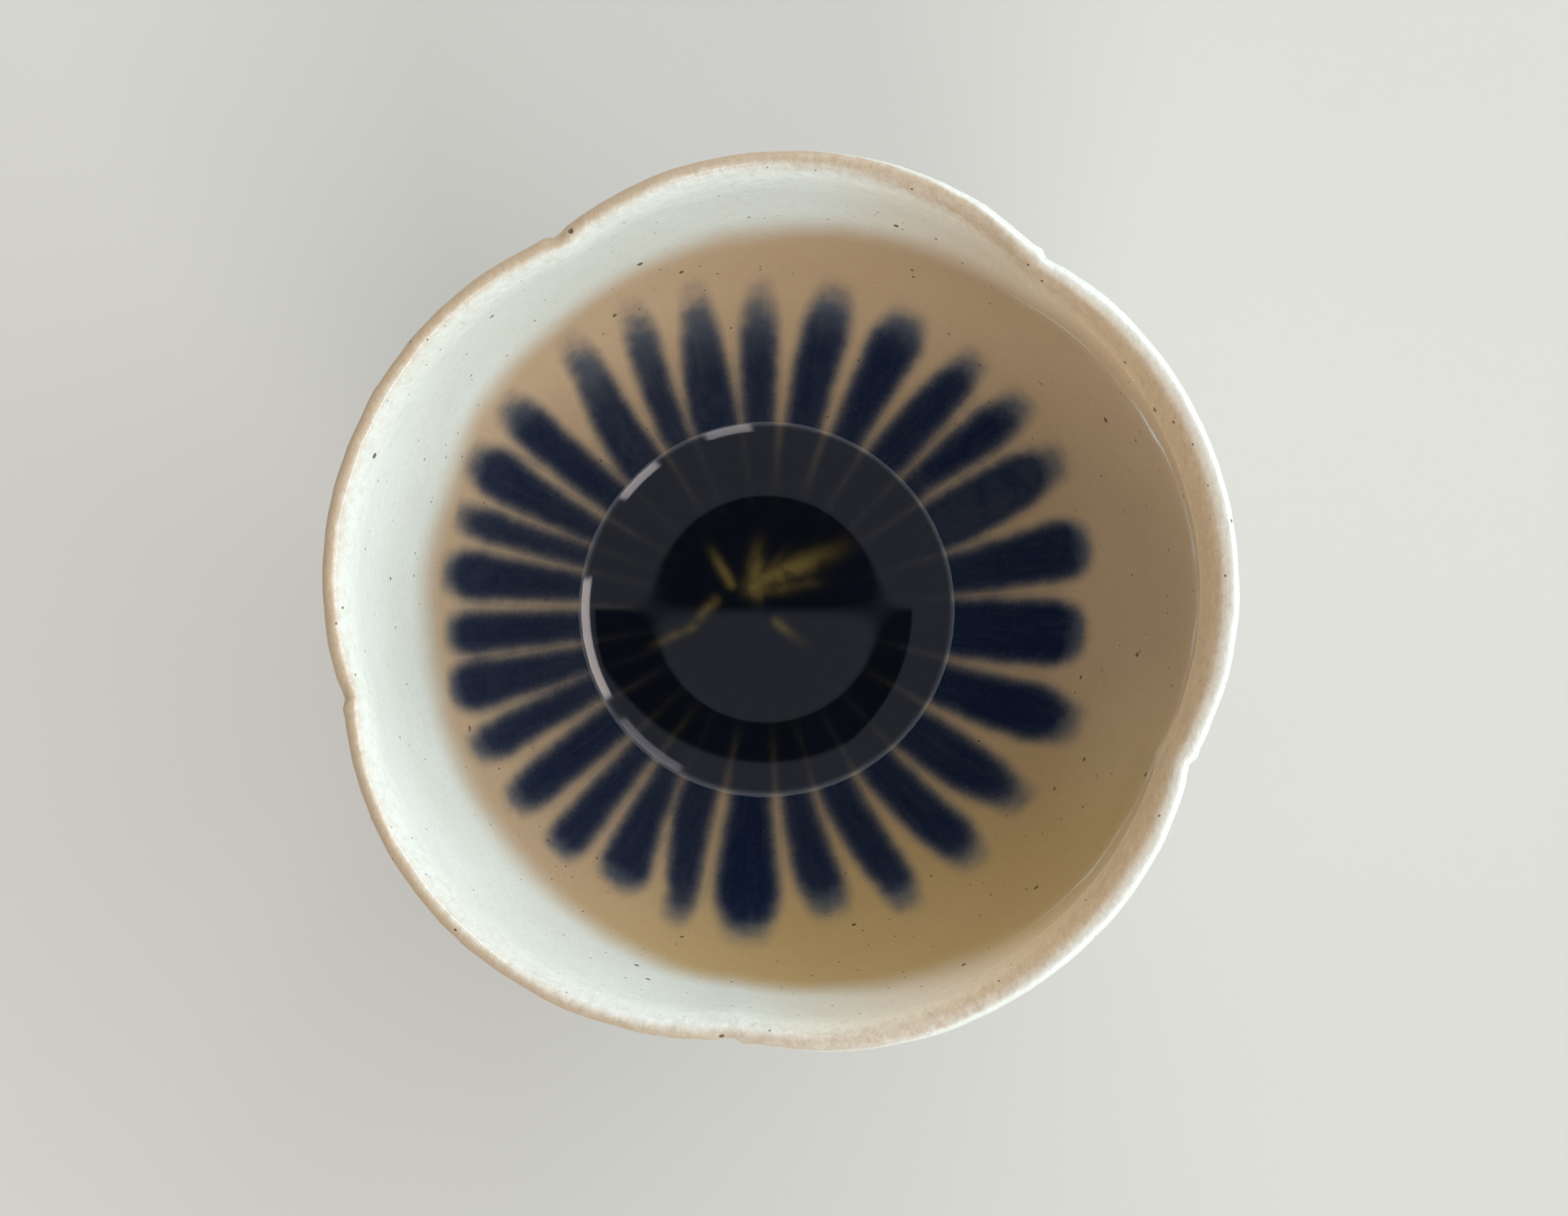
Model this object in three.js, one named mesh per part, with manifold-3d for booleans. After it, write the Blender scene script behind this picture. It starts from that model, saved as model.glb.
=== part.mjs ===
// A kumidashi: a wide tea cup without a handle, thrown in stoneware on a trimmed foot ring. Its rim is
// pressed into five petals, a cream glaze coats it inside and out, and 28 cobalt brush strokes radiate from
// the floor. A last mouthful of tea stands in the bottom. Millimetres, +Z up, origin on the axis at the level
// that the foot stands on.
import * as THREE from "three";
import { mergeVertices } from "three/addons/utils/BufferGeometryUtils.js";
import loadManifold from "manifold-3d";

// The bowl. Radii are taken in the middle of a petal, where the cup is widest.
const RIM_RADIUS = 45.5;
const CUP_HEIGHT = 58;
const LIP_THICKNESS = 2.6;
const LIP_FLARE = 7;
const FLOOR_HEIGHT = 7;
const FLOOR_THICKNESS = 4.6;
const FLOOR_REACH = 27;
const WALL_REACH = 36;

// The foot ring, and the hollow trimmed inside it.
const FOOT_RADIUS = 22;
const FOOT_TAPER = 0.6;
const FOOT_WIDTH = 3.4;
const FOOT_EDGE = 0.7;
const FOOT_COVE = 1.6;

// The petals: where the rim is pressed in (degrees from +X), how far in and down, and how far below the rim
// the press reaches.
const NOTCH_ANGLES = [52, 122, 193, 264, 338];
const NOTCH_DEPTH = 2.3;
const NOTCH_DIP = 0.6;
const NOTCH_REACH = 32;

// The glaze coats. The inner one is deep enough to hold the pigment, and both thin out towards the lip.
const LIP_GLAZE = 0.4;
const OUTER_GLAZE = 0.7;
const GLAZE_SEAT = 0.25;
const GLAZE_LINE = 1.5;
const LIP_SEAM = 112;
const LIP_SEAM_GAP = 0.3;

// The brush strokes. Lengths run along the wall from the middle of the floor.
const STROKE_DEPTH = 0.35;
const STROKE_CLEARANCE = 0.2;
const GLAZE_UNDER_STROKE = 0.35;
const STROKE_START = 9;
const STROKE_BASE = 24;
const STROKE_SHOULDER = 39;
const STROKE_REACH = 45;
const STROKE_TIP = 8;
const ROOT_SHARE = 0.35;
const TIP_SHARE = 0.2;

// Each stroke as laid: its angle and width at the base, its angle and width at the shoulder, all in degrees,
// and its reach as a multiple of STROKE_REACH.
const STROKES = [
  [10.5, 9.5, 11, 11, 1],
  [26, 13, 27, 10, 1.018],
  [40, 7, 39, 9, 1.018],
  [51.5, 10, 50.5, 7.5, 1],
  [65, 8.5, 64.5, 10, 1],
  [79, 9, 78.5, 9, 1],
  [92.5, 8, 92, 7, 0.971],
  [105.5, 11.5, 104, 6.5, 1],
  [118, 7, 115.5, 6, 1.018],
  [131, 11, 127.5, 6, 1.033],
  [144, 8.5, 143, 7.5, 1.051],
  [155.5, 7, 154, 9, 1.051],
  [164, 5.5, 164, 6, 1],
  [173.5, 7.5, 174, 9, 1.018],
  [185, 8, 185, 8, 0.987],
  [195.5, 7.5, 195, 9, 1.018],
  [204.5, 7, 206, 7, 1.018],
  [216.5, 9.5, 217.5, 7.5, 1],
  [228.5, 7, 229, 7.5, 1],
  [239, 7, 241, 9.5, 0.971],
  [249.5, 9.5, 253, 6, 1.018],
  [265, 10.5, 265.5, 13, 1.024],
  [279, 8, 281, 9.5, 0.956],
  [291.5, 9.5, 294.5, 7.5, 1.033],
  [305.5, 10, 308.5, 9, 1.018],
  [320.5, 12, 322, 9.5, 0.987],
  [337, 11, 338.5, 11.5, 1.024],
  [354, 13.5, 355, 12.5, 0.956],
];

// The tea: the radius of its edge, the angle it meets the glaze at, and the length over which its surface
// levels.
const TEA_RADIUS = 21.5;
const CONTACT_ANGLE = 6;
const CAPILLARY_LENGTH = 2.7;
const TEA_SEAT = 0.5;

// How finely the curved surfaces are faceted.
const PETAL_FACETS = 8;
const WALL_STEPS = 12;
const OUTSIDE_STEPS = 9;
const LIP_STEPS = 5;
const COVE_STEPS = 2;
const TEA_STEPS = 6;
const STROKE_STEPS = 5;

const BISECTIONS = 40;
const MERGE_DISTANCE = 1e-4;
const FULL_TURN = 360;
const LIP_TURN = 180;

const { degToRad, radToDeg, lerp, clamp, euclideanModulo } = THREE.MathUtils;
const wasm = await loadManifold();
wasm.setup();

// The bowl's inside surface, as a curve of radius and height from the middle of the floor to the lip.
const lipHalf = LIP_THICKNESS / 2;
const flare = degToRad(LIP_FLARE);
const lipUp = new THREE.Vector2(Math.sin(flare), Math.cos(flare));
const lipOut = new THREE.Vector2(Math.cos(flare), -Math.sin(flare));
const lipCentre = new THREE.Vector2(RIM_RADIUS - lipHalf, CUP_HEIGHT - lipHalf);
const lipInside = lipCentre.clone().addScaledVector(lipOut, -lipHalf);
const bowlCurve = new THREE.CubicBezierCurve(
  new THREE.Vector2(0, FLOOR_HEIGHT),
  new THREE.Vector2(FLOOR_REACH, FLOOR_HEIGHT),
  lipInside.clone().addScaledVector(lipUp, -WALL_REACH),
  lipInside,
);
const wallLength = bowlCurve.getLength();

// The point at a share of the way up the wall, a depth behind the inside surface.
function wallPoint(share, depth) {
  const point = bowlCurve.getPointAt(share);
  const along = bowlCurve.getTangentAt(share);
  if (share === 0) along.set(1, 0);
  return new THREE.Vector2(point.x + along.y * depth, point.y - along.x * depth);
}

// The share of the way up the wall at which a measure that grows with it reaches a value.
function shareWhere(measure, value) {
  let low = 0;
  let high = 1;
  for (let step = 0; step < BISECTIONS; step += 1) {
    const middle = (low + high) / 2;
    if (measure(middle) < value) low = middle;
    else high = middle;
  }
  return low;
}

function sharesBetween(start, end, steps) {
  return Array.from({ length: steps + 1 }, (_, step) => lerp(start, end, step / steps));
}

const longestReach = STROKE_REACH * Math.max(...STROKES.map(([, , , , share]) => share)) + STROKE_CLEARANCE;
const thinningShare = longestReach / wallLength;
const innerGlaze = STROKE_DEPTH + STROKE_CLEARANCE + GLAZE_UNDER_STROKE;
const wallThickness = (share) => lerp(FLOOR_THICKNESS, LIP_THICKNESS, share);
const outerCoat = (share) => lerp(OUTER_GLAZE, LIP_GLAZE, share);
const innerCoat = (share) => {
  const thinned = clamp((share - thinningShare) / (1 - thinningShare), 0, 1);
  return lerp(innerGlaze, LIP_GLAZE, thinned);
};

// Points over the round lip, a depth under its skin. Angles run from 0 inside, over the crest, to LIP_TURN
// outside.
function lipArc(depth, startAngle, endAngle) {
  return sharesBetween(startAngle, endAngle, LIP_STEPS).map((angle) => {
    const turn = degToRad(angle);
    return lipCentre.clone()
      .addScaledVector(lipOut, -Math.cos(turn) * (lipHalf - depth))
      .addScaledVector(lipUp, Math.sin(turn) * (lipHalf - depth));
  });
}

const cove = (from, corner, to) => new THREE.QuadraticBezierCurve(from, corner, to).getPoints(COVE_STEPS);

// Where an angle falls in its petal: 0 and 1 are the notches at its two ends.
const notchCount = NOTCH_ANGLES.length;
const notchAt = (index) => NOTCH_ANGLES[index % notchCount] + FULL_TURN * Math.floor(index / notchCount);
function petalShare(angle) {
  const turned = NOTCH_ANGLES[0] + euclideanModulo(angle - NOTCH_ANGLES[0], FULL_TURN);
  let petal = 0;
  while (turned > notchAt(petal + 1)) petal += 1;
  return (turned - notchAt(petal)) / (notchAt(petal + 1) - notchAt(petal));
}

// Places a point of the turned shape, with the notches pressed in and down and fading out below the rim.
function petalPoint(radius, angle, height) {
  const fade = clamp(1 - (CUP_HEIGHT - height) / NOTCH_REACH, 0, 1) ** 2;
  const valley = (2 * petalShare(angle) - 1) ** 2;
  const pressed = radius - NOTCH_DEPTH * valley * fade;
  const dip = NOTCH_DIP * valley ** 2 * fade;
  const turn = degToRad(angle);
  return new THREE.Vector3(pressed * Math.cos(turn), pressed * Math.sin(turn), height - dip);
}

// Turns a profile about the axis, with a column of facets on every notch. Profiles start on their inner side.
function turned(profile) {
  const outward = [...profile].reverse();
  const geometry = new THREE.LatheGeometry(outward, notchCount * PETAL_FACETS);
  const position = geometry.getAttribute("position");
  for (let index = 0; index < position.count; index += 1) {
    const { x: radius, y: height } = outward[index % outward.length];
    const column = Math.floor(index / outward.length);
    const petal = Math.floor(column / PETAL_FACETS);
    const angle = lerp(notchAt(petal), notchAt(petal + 1), (column % PETAL_FACETS) / PETAL_FACETS);
    const point = petalPoint(radius, angle, height);
    position.setXYZ(index, point.x, point.y, point.z);
  }
  geometry.computeVertexNormals();
  return geometry;
}

function solidOf(geometry) {
  const bare = geometry.clone();
  bare.deleteAttribute("normal");
  bare.deleteAttribute("uv");
  const merged = mergeVertices(bare, MERGE_DISTANCE);
  const vertProperties = new Float32Array(merged.getAttribute("position").array);
  const triVerts = new Uint32Array(merged.getIndex().array);
  return new wasm.Manifold(new wasm.Mesh({ numProp: 3, vertProperties, triVerts }));
}

function geometryOf(solid) {
  const mesh = solid.getMesh();
  const geometry = new THREE.BufferGeometry();
  geometry.setAttribute("position", new THREE.BufferAttribute(mesh.vertProperties, 3));
  geometry.setIndex(new THREE.BufferAttribute(mesh.triVerts, 1));
  geometry.computeVertexNormals();
  return geometry;
}

const wallShares = sharesBetween(0, 1, WALL_STEPS);

// The clay: inside wall, lip, outside wall, then down round the foot ring and across its hollow to the axis.
const bodyOutside = (share) => wallPoint(share, wallThickness(share) - outerCoat(share) - GLAZE_SEAT);
const footTopRadius = FOOT_RADIUS + FOOT_TAPER;
const footTop = bodyOutside(shareWhere((share) => bodyOutside(share).x, footTopRadius));
const bellyShare = shareWhere((share) => bodyOutside(share).x, footTopRadius + FOOT_COVE);

function bodyProfile() {
  const clayDepth = LIP_GLAZE + GLAZE_SEAT;
  const innerFoot = FOOT_RADIUS - FOOT_WIDTH;
  const hollowTop = FLOOR_HEIGHT - FLOOR_THICKNESS;
  const hollowStart = innerFoot - FOOT_COVE;
  const at = (radius, height) => new THREE.Vector2(radius, height);
  return [
    ...wallShares.map((share) => wallPoint(share, innerCoat(share) + GLAZE_SEAT)),
    ...lipArc(clayDepth, 0, LIP_TURN).slice(1, -1),
    ...sharesBetween(1, bellyShare, OUTSIDE_STEPS).slice(0, -1).map(bodyOutside),
    ...cove(bodyOutside(bellyShare), footTop, at(footTopRadius, footTop.y - FOOT_COVE)),
    ...cove(at(FOOT_RADIUS, FOOT_EDGE), at(FOOT_RADIUS, 0), at(FOOT_RADIUS - FOOT_EDGE, 0)),
    ...cove(at(innerFoot + FOOT_EDGE, 0), at(innerFoot, 0), at(innerFoot, FOOT_EDGE)),
    ...cove(at(innerFoot, hollowTop - FOOT_COVE), at(innerFoot, hollowTop), at(hollowStart, hollowTop)),
    at(0, hollowTop),
  ];
}

// The inner coat: up the wall and over the crest to the seam, then back down behind.
const seamGapAngle = radToDeg(LIP_SEAM_GAP / lipHalf);
function innerGlazeProfile() {
  return [
    ...wallShares.map((share) => wallPoint(share, 0)),
    ...lipArc(0, 0, LIP_SEAM).slice(1),
    ...lipArc(LIP_GLAZE, LIP_SEAM, 0).slice(0, -1),
    ...wallShares.map((share) => wallPoint(share, innerCoat(share))).reverse(),
  ];
}

// The outer coat: from the seam over the shoulder of the lip, down to a rolled edge above the foot, and back
// up behind.
function outerGlazeProfile() {
  const skin = (share) => wallPoint(share, wallThickness(share));
  const back = (share) => wallPoint(share, wallThickness(share) - outerCoat(share));
  const lineShare = shareWhere((share) => skin(share).y, footTop.y + GLAZE_LINE);
  const shares = sharesBetween(1, lineShare, OUTSIDE_STEPS);
  const edgeRoll = shareWhere((share) => skin(share).y, footTop.y + GLAZE_LINE - OUTER_GLAZE);
  const edge = cove(skin(lineShare), skin(edgeRoll), back(lineShare)).slice(1, -1);
  const loop = [
    ...lipArc(0, LIP_SEAM + seamGapAngle, LIP_TURN).slice(0, -1),
    ...shares.map(skin),
    ...edge,
    ...shares.map(back).reverse(),
    ...lipArc(LIP_GLAZE, LIP_TURN, LIP_SEAM + seamGapAngle).slice(1),
  ];
  return [...loop, loop[0]];
}

// The tea: its underside follows the wall, and its surface curls up to meet the wall all round.
function teaProfile() {
  const under = (share) => wallPoint(share, -TEA_SEAT);
  const edgeShare = shareWhere((share) => under(share).x, TEA_RADIUS);
  const edge = under(edgeShare);
  const slope = bowlCurve.getTangentAt(edgeShare).angle();
  const rise = CAPILLARY_LENGTH * Math.tan(slope - degToRad(CONTACT_ANGLE));
  const surface = sharesBetween(0, 1, TEA_STEPS).map((share) => {
    const inset = TEA_RADIUS * share ** 2;
    const height = edge.y - rise + rise * Math.exp(-inset / CAPILLARY_LENGTH);
    return new THREE.Vector2(edge.x * (1 - share ** 2), height);
  });
  return [...surface.reverse(), ...sharesBetween(edgeShare, 0, TEA_STEPS).slice(1).map(under)];
}

// Half a stroke's width, in degrees, at a length along the wall: narrow at the root, round at the tip.
function strokeHalfWidth([, baseWidth, , shoulderWidth, reachShare], length) {
  const reach = STROKE_REACH * reachShare;
  const lean = clamp((length - STROKE_BASE) / (STROKE_SHOULDER - STROKE_BASE), 0, 1);
  const opening = clamp((length - STROKE_START) / (STROKE_BASE - STROKE_START), 0, 1);
  const tip = clamp((length - reach + STROKE_TIP) / STROKE_TIP, 0, 1);
  const round = Math.max(TIP_SHARE, Math.sqrt(1 - tip ** 2));
  return lerp(baseWidth, shoulderWidth, lean) / 2 * lerp(ROOT_SHARE, 1, opening) * round;
}

// A stroke bent onto the wall, grown by a margin at its outline, from one depth behind the surface to another.
function strokeGeometry(stroke, margin, topDepth, bottomDepth) {
  const [baseAngle, , shoulderAngle, , reachShare] = stroke;
  const reach = STROKE_REACH * reachShare;
  const geometry = new THREE.BoxGeometry(2, 1, 1, 2, STROKE_STEPS, 1);
  const position = geometry.getAttribute("position");
  for (let index = 0; index < position.count; index += 1) {
    const across = position.getX(index);
    const along = Math.sin((position.getY(index) + 0.5) * Math.PI / 2);
    const depth = position.getZ(index) > 0 ? topDepth : bottomDepth;
    const length = lerp(STROKE_START, reach, along);
    const grownLength = lerp(STROKE_START - margin, reach + margin, along);
    const { x: radius, y: height } = wallPoint(grownLength / wallLength, depth);
    const lean = clamp((length - STROKE_BASE) / (STROKE_SHOULDER - STROKE_BASE), 0, 1);
    const half = strokeHalfWidth(stroke, length) + radToDeg(margin / radius);
    const point = petalPoint(radius, lerp(baseAngle, shoulderAngle, lean) - across * half, height);
    position.setXYZ(index, point.x, point.y, point.z);
  }
  geometry.computeVertexNormals();
  return geometry;
}

// Cuts a pocket for every stroke into the inner coat. The cutters start clear above the surface.
function pocketedGlaze() {
  const cutterTop = -innerGlaze;
  const pocketDepth = STROKE_DEPTH + STROKE_CLEARANCE;
  const pockets = STROKES.map((stroke) => {
    return solidOf(strokeGeometry(stroke, STROKE_CLEARANCE, cutterTop, pocketDepth));
  });
  const coat = pockets.reduce((solid, pocket) => solid.subtract(pocket), solidOf(turned(innerGlazeProfile())));
  return geometryOf(coat);
}

function piece(name, geometry, color, roughness) {
  const mesh = new THREE.Mesh(geometry, new THREE.MeshStandardMaterial({ color, roughness, metalness: 0 }));
  mesh.name = name;
  return mesh;
}

const cup = new THREE.Group();
cup.name = "kumidashi_teacup";
cup.add(piece("stoneware_body", turned(bodyProfile()), "#b99672", 0.85));
cup.add(piece("inner_glaze", pocketedGlaze(), "#d8cdb6", 0.28));
cup.add(piece("outer_glaze", turned(outerGlazeProfile()), "#d8d2c2", 0.32));
cup.add(piece("tea", turned(teaProfile()), "#8f8a45", 0.05));
STROKES.forEach((stroke, index) => {
  const number = String(index + 1).padStart(2, "0");
  cup.add(piece(`brush_stroke_${number}`, strokeGeometry(stroke, 0, 0, STROKE_DEPTH), "#1d2544", 0.25));
});

export default cup;
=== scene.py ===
"""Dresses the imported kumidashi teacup: its glaze with the brushed cobalt in it, its bare clay, its last mouthful of
tea, and the plain stage it is seen on."""

import math

import bpy
import numpy as np
from bpy.props import FloatProperty, FloatVectorProperty, PointerProperty
from mathutils import Matrix, Vector, noise


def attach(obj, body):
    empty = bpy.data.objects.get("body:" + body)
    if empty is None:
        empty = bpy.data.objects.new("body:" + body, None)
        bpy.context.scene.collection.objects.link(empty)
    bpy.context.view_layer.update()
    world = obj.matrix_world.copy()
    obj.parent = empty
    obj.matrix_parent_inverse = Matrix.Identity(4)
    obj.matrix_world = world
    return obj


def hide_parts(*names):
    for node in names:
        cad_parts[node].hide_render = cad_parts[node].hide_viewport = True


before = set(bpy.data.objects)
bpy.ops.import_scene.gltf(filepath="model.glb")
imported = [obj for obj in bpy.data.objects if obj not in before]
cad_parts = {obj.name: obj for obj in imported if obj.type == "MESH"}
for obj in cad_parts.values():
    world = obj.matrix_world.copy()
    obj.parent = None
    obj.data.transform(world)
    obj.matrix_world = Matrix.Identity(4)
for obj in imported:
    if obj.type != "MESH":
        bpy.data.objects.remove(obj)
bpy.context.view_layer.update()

bl_info = {
    "name": "Kumidashi Teacup",
    "version": (1, 0, 0),
    "blender": (4, 5, 0),
    "location": "3D Viewport > Sidebar > Teacup",
    "description": "Builds the glaze, clay, tea and stage of a five-petal kumidashi teacup",
    "category": "Object",
}

MM = 0.001
STROKE_NODES = sorted(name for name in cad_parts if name.startswith("brush_stroke"))

# The photograph's frame, and where the cup lies in it.
PHOTO_WIDTH = 2184
PHOTO_HEIGHT = 1694
PHOTO_RIM_CENTRE = (1087, 834)
PHOTO_MM_PER_PIXEL = 0.0705
CAMERA_ABOVE_RIM = 250 * MM
CAMERA_EAST = -8.4 * MM
CAMERA_NORTH = -6.6 * MM
SENSOR_WIDTH = 36.0

# Where the rim is pressed in, in degrees from +X, as in the solids.
NOTCH_ANGLES = (52, 122, 193, 264, 338)

# The brush strokes: angle and width where they leave the tea, angle and width at the shoulder (degrees), reach along
# the wall from the middle of the floor, length of the tip and of its fade (mm), and density of the pigment.
STROKES = (
    (10.5, 10.5, 11, 11, 45, 8, 5, 0.95),
    (26, 13, 27, 10, 45.8, 12, 7, 0.8),
    (40, 7, 39, 9, 45.8, 12, 7, 1.0),
    (51.5, 10, 50.5, 7.5, 45, 11, 6, 0.95),
    (65, 8.5, 64.5, 10, 45.4, 10, 9, 0.95),
    (79, 9, 78.5, 9, 45.6, 11, 13, 0.9),
    (92.5, 8, 92, 7, 43.7, 11, 15, 0.85),
    (105.5, 11.5, 104, 6.5, 45, 11, 17, 0.8),
    (118, 7, 115.5, 6, 45.8, 10, 18, 0.78),
    (131, 11, 127.5, 6, 46.5, 10, 18, 0.78),
    (144, 8.5, 143, 7.5, 47.3, 10, 9, 0.9),
    (155.5, 7, 154, 9, 47.3, 10, 6, 0.86),
    (164, 6, 164, 6, 45, 9, 4, 0.84),
    (173.5, 7.5, 174, 9, 45.8, 9, 5, 0.86),
    (185, 8, 185, 8, 44.4, 7, 4, 0.9),
    (195.5, 7.5, 195, 9, 45.8, 7, 4, 0.86),
    (204.5, 7, 206, 7, 45.8, 9, 5, 0.88),
    (216.5, 9.5, 217.5, 7.5, 45, 9, 5, 0.92),
    (228.5, 7, 229, 7.5, 45, 8, 5, 0.92),
    (239, 7, 241, 9.5, 43.7, 7.5, 6, 0.9),
    (249.5, 9.5, 253, 6, 45.8, 11, 7, 0.9),
    (265, 10.5, 265.5, 13, 47.4, 13, 7, 1.0),
    (279, 8, 281, 9.5, 43, 10, 8, 0.92),
    (291.5, 9.5, 294.5, 7.5, 46.5, 11, 8, 0.92),
    (305.5, 10, 308.5, 9, 45.8, 11, 7, 0.95),
    (320.5, 12, 322, 9.5, 44.4, 13, 6, 0.95),
    (337, 11, 338.5, 11.5, 46.1, 12, 6, 1.0),
    (354.5, 14.5, 355, 12.5, 43, 8, 5, 1.0),
)
STROKE_BASE = 24 * MM
STROKE_SHOULDER = 39 * MM
STROKE_SPREAD = ((8 * MM, 18 * MM, 24 * MM, 34 * MM), (1.4, 1.3, 1.2, 1.07))

# The bare rays where the strokes meet: start (mm), angle (degrees), length and half width (mm), and strength.
STAR_RAYS = (
    (-1.4, 2.6, 84, 6.0, 0.95, 0.75),
    (-1.0, 2.8, 52, 6.0, 0.75, 0.4),
    (-1.4, 2.8, 24, 12.0, 1.2, 1.0),
    (-0.8, 2.4, 8, 8.0, 0.8, 0.6),
    (-4.0, 3.0, 121, 5.6, 0.6, 0.75),
    (-6.0, 1.2, 230, 4.2, 0.6, 0.85),
    (-8.6, -2.0, 205, 6.0, 0.55, 0.5),
    (1.2, -1.4, 322, 4.5, 0.6, 0.55),
    (-0.6, 2.4, 0, 0.5, 1.4, 0.7),
)
RAY_BODY = 0.35
COMMON_DENSITY = 0.9
FAR_FROM_INK = -6 * MM
INK_BLEND = 0.25 * MM

# Tips up to the blunt length (mm) end round, those from the pointed length on end in a point.
BLUNT_TIP = 8
POINTED_TIP = 12

# Inside this radius the strokes run together.
INK_HEART_RADIUS = 14 * MM
INK_HEART_SLOPE = 0.2

# The ridges of the throwing fingers.
RELIEF_START = 25 * MM
RELIEF_FADE = 12 * MM
RIDGE_SPACING = 3.3 * MM
DRIFT_SPACING = 11 * MM

# Unevenness by hand: size (mm), waves round the cup, start (radians) and, for the wall, turn on the way up (radians).
WALL_WAVES = ((0.22, 2, 0.9, 0), (0.16, 3, 2.1, 1), (0.1, 5, -1.3, -2))
RIM_WAVES = ((-0.75, 1, -1.87), (-0.24, 2, 2.69), (-0.14, 3, 0.26))
GLAZE_LINE_WAVES = ((0.5, 3, 0.4), (0.35, 7, 1.9), (0.2, 13, 0))

# The wet line: height over the axis, slope to +X and +Y, and swells by size (mm), angle and width (degrees).
WET_LINE_HEIGHT = 41.2 * MM
WET_LINE_SLOPE = (0.285, -0.05)
WET_LINE_SWELLS = ((1.8, 140, 35), (-1.4, 270, 22))
FAR_ABOVE_WET = 30 * MM

# The lamps: name, place, target, width and height (m), the stage setting with the power, and colour.
LAMPS = (
    ("side_light", (1.48, 0.46, 0.80), (-0.02, 0, 0.045), (4.4, 1.3), "key_power", (0.85, 0.96, 1.0)),
    ("front_light", (0.38, -1.8, 1.20), (0, 0, 0.045), (1.0, 0.75), "front_power", (1.0, 1.0, 0.98)),
    ("back_light", (0.2, 1.9, 1.20), (0, 0, 0.045), (1.2, 0.8), "back_power", (1.0, 1.0, 0.98)),
)

# The surroundings that the glaze and the tea mirror. The dark panel: limits east and north of the zenith (tangents) and
# softness. The panes: limits round (degrees) and strength. Up (sine) and round: limits, then the softness at each.
DARK_PANEL = ((-0.10, 0.55, 0.02), (0.019, 0.24, 0.005))
DARK_PANEL_FADE = 0.06
DARK_PANEL_COLOUR = (0.02, 0.02, 0.025)
PANES = ((-84, -66, 0.6), (-51, -33, 0.8), (-9, 31, 1.0), (36, 62, 0.3))
PANES_SOFTNESS = 3
PANES_UP = (0.66, 0.84, 0.02, 0.04)
PANES_BRIGHTNESS = 14.0
PANES_COLOUR = (1.0, 0.88, 0.86)
WINDOW_ROUND = (-48, 56, 4, 4)
WINDOW_UP = (0.40, 0.52, 0.02, 0.02)
WINDOW_BRIGHTNESS = 22.0
LOW_SKY_UP = (0.66, 0.78)
LOW_SKY_BRIGHTNESS = 1.8
SKY_COLOUR = (1.0, 0.965, 0.92)
MIRRORED_SKY_COLOUR = (0.80, 0.84, 1.0)
SEEN_LEVEL = 0.85

# How finely the surfaces are meshed.
PETAL_COLUMNS = 60
INSIDE_ROWS = 130
LIP_ROWS = 24
OUTSIDE_ROWS = 96
BACK_ROWS = 24
CLAY_INSIDE_ROWS = 40
CLAY_LIP_ROWS = 8
CLAY_OUTSIDE_ROWS = 60
TEA_ROWS = 48
TEA_BED_ROWS = 20
CURVE_SAMPLES = 1200
LIP_SWELL_REACH = 20 * MM
TEA_OVERLAP = 0.25 * MM
TEA_SINK = 0.12 * MM
FLOOR_COLUMNS = 96
FLOOR_RADIUS = 6.0


def length_property(name, description, millimetres):
    return FloatProperty(name=name, description=description, default=millimetres * MM, min=0.0, unit="LENGTH",
                         precision=5)


def colour_property(name, description, default):
    return FloatVectorProperty(name=name, description=description, default=default, size=3, min=0.0, max=1.0,
                               subtype="COLOR")


def power_property(name, description, default):
    return FloatProperty(name=name, description=description, default=default, unit="POWER")


class TeacupSizes(bpy.types.PropertyGroup):
    """The cup's driving sizes. The lip's rounding and the tea's edge differ from the solids."""

    rim_radius: length_property("Rim radius", "Axis to the lip's outside, mid-petal", 45.5)
    height: length_property("Height", "Table to the crest of the lip", 58)
    lip_thickness: length_property("Lip thickness", "Thickness of the round lip", 2.6)
    lip_inner_round: length_property("Lip inner round", "How far the lip rounds off inside its crest", 1.8)
    lip_inner_drop: length_property("Lip inner drop", "How far the inner rounding drops below the crest", 5.0)
    lip_outer_round: length_property("Lip outer round", "How far the lip rounds off outside its crest", 0.9)
    lip_flare: FloatProperty(name="Lip flare", description="Lean of the wall at the lip",
                             default=math.radians(7), subtype="ANGLE")
    floor_height: length_property("Floor height", "Table to the middle of the floor", 7)
    floor_thickness: length_property("Floor thickness", "Thickness in the middle of the floor", 4.6)
    floor_reach: length_property("Floor reach", "How far the floor runs level", 27)
    wall_reach: length_property("Wall reach", "How far the wall runs straight down from the lip", 36)
    notch_depth: length_property("Notch depth", "How far the notches are pressed in", 2.3)
    notch_dip: length_property("Notch dip", "How far the lip dips at the notches", 0.6)
    notch_reach: length_property("Notch reach", "How far below the lip the press fades out", 32)
    foot_radius: length_property("Foot radius", "Outside radius of the foot ring", 22)
    foot_taper: length_property("Foot taper", "How much wider the foot is at its top", 0.6)
    foot_width: length_property("Foot width", "Width of the foot ring", 3.4)
    glaze_coat: length_property("Glaze coat", "Thickness of the glaze", 0.7)
    glaze_line: length_property("Glaze line", "How far above the foot the glaze ends", 1.5)
    pool_radius: length_property("Pool radius", "Radius of the tea's edge", 21.9)
    contact_angle: FloatProperty(name="Contact angle", description="Angle at which the tea meets the glaze",
                                 default=math.radians(1.5), subtype="ANGLE")
    capillary_length: length_property("Capillary length", "Length over which the tea levels out", 2.7)


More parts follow.
